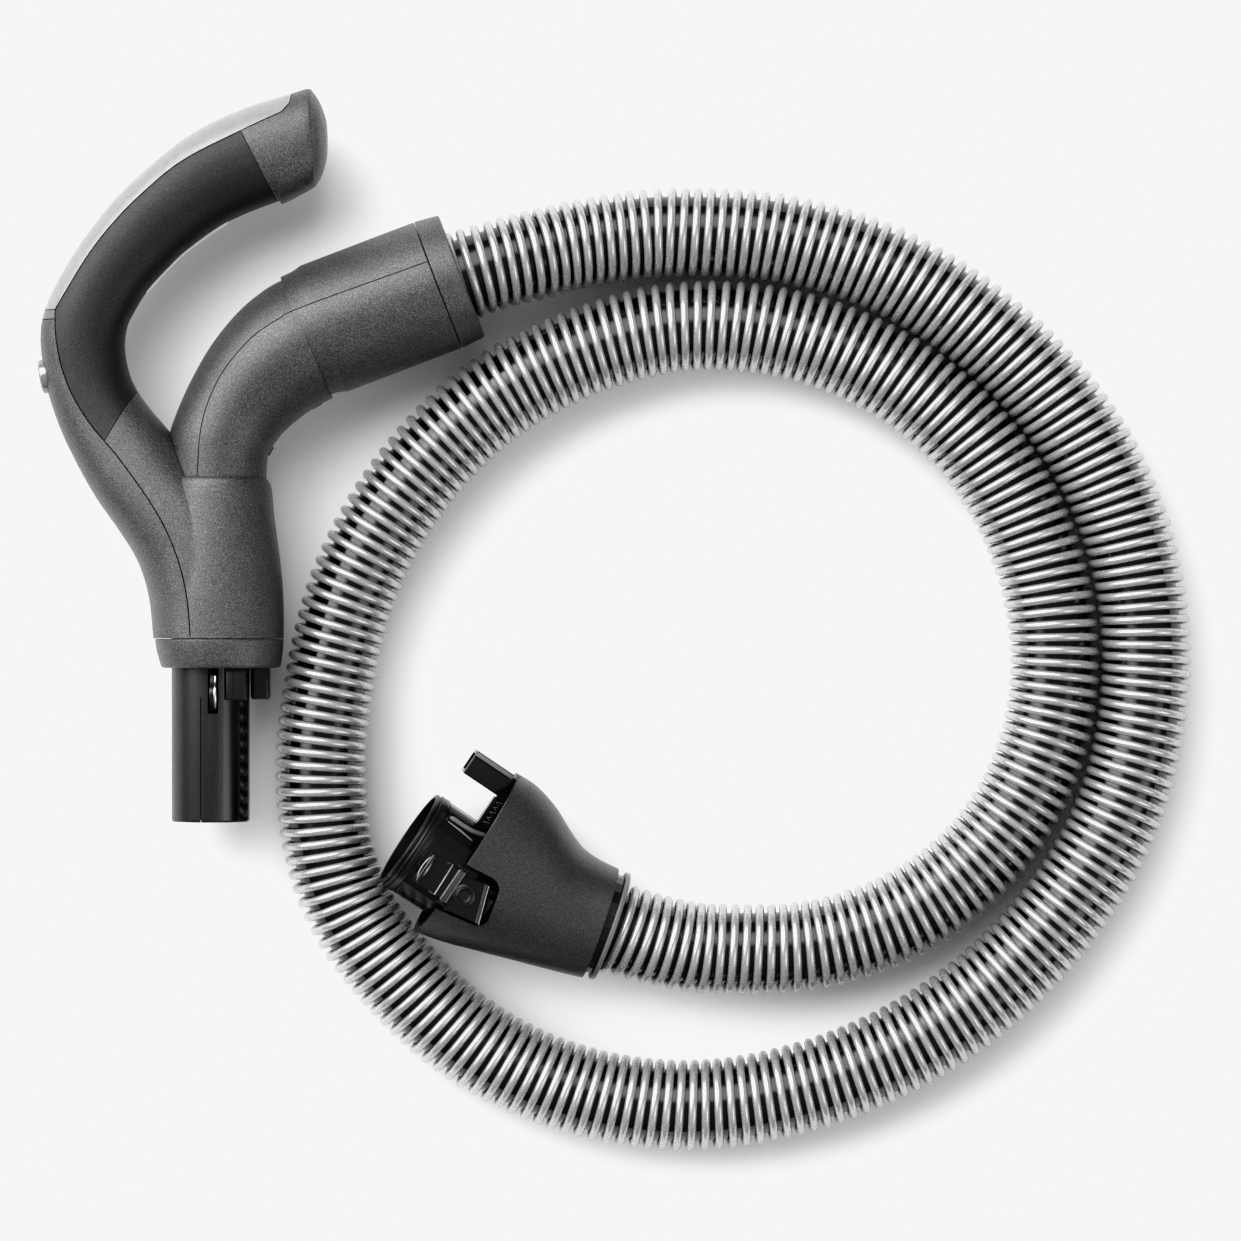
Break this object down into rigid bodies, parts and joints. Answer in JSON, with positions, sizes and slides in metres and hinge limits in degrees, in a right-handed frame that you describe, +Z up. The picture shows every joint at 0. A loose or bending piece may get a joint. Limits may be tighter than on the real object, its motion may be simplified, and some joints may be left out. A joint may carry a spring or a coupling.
{
  "type": "vacuum cleaner hose",
  "caption": "Suction hose of a canister vacuum cleaner: ergonomic handle with wand tube and elbow, ribbed hose in a loose spiral, and a latching machine connector with a plug.",
  "frame": {"origin": "bottom centre of the box around the handle and the connector, on the surface that the hose lies on", "axes": "+Y from the wand tube towards the grip, +X from the handle across the spiral of the hose, +Z up from the surface"},
  "size_m": [0.5174, 0.4763, 0.0645],
  "materials": {
    "shell": "fine-grained satin, anthracite",
    "dark_shell": "fine-grained satin, near black",
    "grip": "soft-touch matte",
    "silver": "satin silver",
    "grey": "satin grey",
    "gloss": "gloss",
    "black": "satin",
    "gloss_black": "gloss",
    "rubber": "matte",
    "steel": "bright",
    "brass": "bright",
    "board": "lacquered circuit board",
    "hose_ribs": "satin silver-grey ribs over a gloss black wall"
  },
  "bodies": {
    "root": {"top_strip": "silver", "strip_foot_band": "grey", "end_cap": "shell", "soft_grip": "grip", "front_cover": "shell", "handle_body": "shell", "grip_inlay": "silver", "micro_switch": "black", "circuit_board": "board", "bottom_collar": "shell", "wand_tube": "black", "contact_block": "black", "contact_peg": "black", "contact_pin_1": "brass", "contact_pin_2": "brass", "elbow_outer_shell": "shell", "elbow_inner_shell": "shell", "hose": "hose_ribs", "connector_housing": "dark_shell", "connector_duct": "black", "spigot": "gloss_black", "mouth_seal": "rubber", "latch_pin_top": "steel", "latch_spring_top": "steel", "latch_pin_bottom": "steel", "latch_spring_bottom": "steel", "plug_peg": "gloss_black", "plug_pin_1": "brass", "plug_pin_2": "brass", "plug_pin_3": "brass"},
    "hose_swivel": {"swivel_collar": "shell", "handle_cuff": "black"},
    "connector_swivel": {"connector_ring": "grey", "connector_cuff": "black"},
    "button": {"push_button": "gloss", "button_spring": "steel"},
    "slider": {"air_slider": "black"},
    "catch": {"wand_catch": "steel"},
    "top_latch": {"latch_top": "dark_shell", "latch_button_top": "dark_shell"},
    "bottom_latch": {"latch_bottom": "dark_shell", "latch_button_bottom": "dark_shell"}
  },
  "joints": [
    {"name": "hose_swivel_turn", "type": "hinge", "parent": "root", "child": "hose_swivel", "pos_m": [0.04759, 0.1121, 0.03025], "axis": [0.9341, 0.357, 0], "continuous": true},
    {"name": "connector_swivel_turn", "type": "hinge", "parent": "root", "child": "connector_swivel", "pos_m": [0.1255, -0.17604, 0.02516], "axis": [-0.9397, 0.3346, 0.0701], "continuous": true},
    {"name": "button_press", "type": "slide", "parent": "root", "child": "button", "axis": [0.9851, 0.172, 0], "range_m": [0, 0.0015], "stiffness_N_per_m": 1500},
    {"name": "air_slider_slide", "type": "hinge", "parent": "root", "child": "slider", "pos_m": [0.0197, 0.0098, 0.03025], "axis": [0, 0, 1], "range_deg": [0, 8]},
    {"name": "wand_catch_press", "type": "slide", "parent": "root", "child": "catch", "axis": [0, 0, -1], "range_m": [0, 0.0015], "stiffness_N_per_m": 2500},
    {"name": "latch_top_rock", "type": "hinge", "parent": "root", "child": "top_latch", "pos_m": [0.05466, -0.15613, 0.05964], "axis": [0.5591, 0.8291, 0], "range_deg": [0, 4], "stiffness_Nm_per_rad": 1.2},
    {"name": "latch_bottom_rock", "type": "hinge", "parent": "root", "child": "bottom_latch", "pos_m": [0.0498, -0.15285, 0.00818], "axis": [-0.5591, -0.8291, 0], "range_deg": [0, 4], "stiffness_Nm_per_rad": 1.2}
  ]
}
